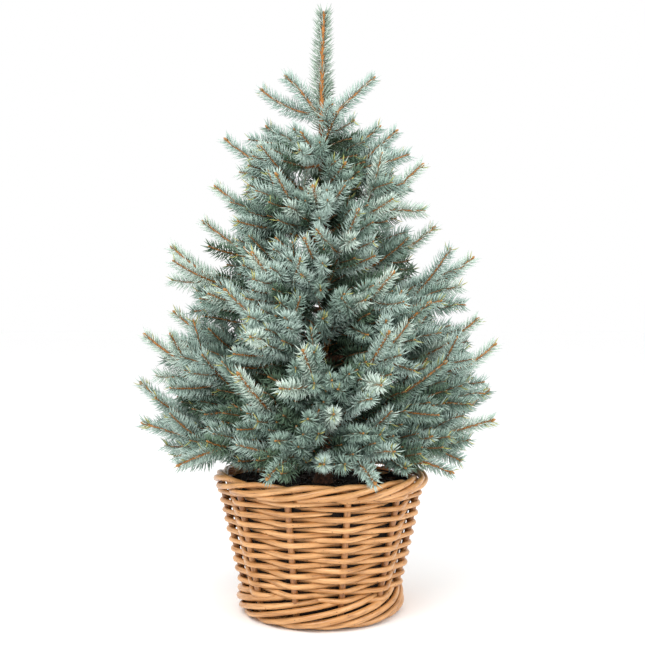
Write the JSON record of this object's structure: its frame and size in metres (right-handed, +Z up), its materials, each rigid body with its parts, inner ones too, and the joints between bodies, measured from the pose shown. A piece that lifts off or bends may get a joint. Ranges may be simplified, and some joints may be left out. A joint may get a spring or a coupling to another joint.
{
  "type": "potted blue spruce in a wicker basket",
  "caption": "Young blue spruce with a full cone of needled shoots on rising boughs, growing in a round tapered wicker basket.",
  "frame": {"origin": "centre of the basket's flat underside", "axes": "+Z up along the trunk, -Y toward the viewer, +X to the viewer's right"},
  "size_m": [0.5318, 0.4363, 0.891],
  "materials": {
    "willow": "satin",
    "compost": "matte",
    "bark": "matte",
    "needles": "matte"
  },
  "bodies": {
    "root": {"basket": "willow", "soil": "compost", "trunk": "bark", "bough_6_left": "bark", "bough_6_right": "bark", "bough_6_front_right": "bark", "bough_6_front_left": "bark", "bough_6_back": "bark", "bough_7_left": "bark", "bough_7_right": "bark", "bough_7_front_left": "bark", "bough_7_front_right": "bark", "bough_7_back": "bark", "bough_8_left": "bark", "bough_8_right": "bark", "bough_8_front_right": "bark", "bough_8_front": "bark", "bough_8_back": "bark", "foliage_top": "needles", "foliage_upper": "needles", "foliage_3_right": "needles", "foliage_3_left": "needles", "foliage_3_front": "needles", "foliage_4_left": "needles", "foliage_4_right": "needles", "foliage_4_front_left": "needles", "foliage_4_back": "needles", "foliage_5_left": "needles", "foliage_5_right": "needles", "foliage_5_front": "needles", "foliage_5_front_left": "needles", "foliage_5_back": "needles", "foliage_6_left": "needles", "foliage_6_right": "needles", "foliage_6_front_right": "needles", "foliage_6_front_left": "needles", "foliage_6_back": "needles", "foliage_7_left": "needles", "foliage_7_right": "needles", "foliage_7_front_left": "needles", "foliage_7_front_right": "needles", "foliage_7_back": "needles", "foliage_8_left": "needles", "foliage_8_right": "needles", "foliage_8_front_right": "needles", "foliage_8_front": "needles", "foliage_8_back": "needles", "foliage_9_left": "needles", "foliage_9_right": "needles", "foliage_9_front_left": "needles", "foliage_9_front_right": "needles", "foliage_9_back": "needles", "foliage_10_left": "needles", "foliage_10_right": "needles", "foliage_10_back_right": "needles", "foliage_10_back_left": "needles", "foliage_11_left": "needles", "foliage_11_right": "needles", "foliage_11_front_left": "needles", "foliage_11_front_right": "needles"}
  },
  "joints": []
}
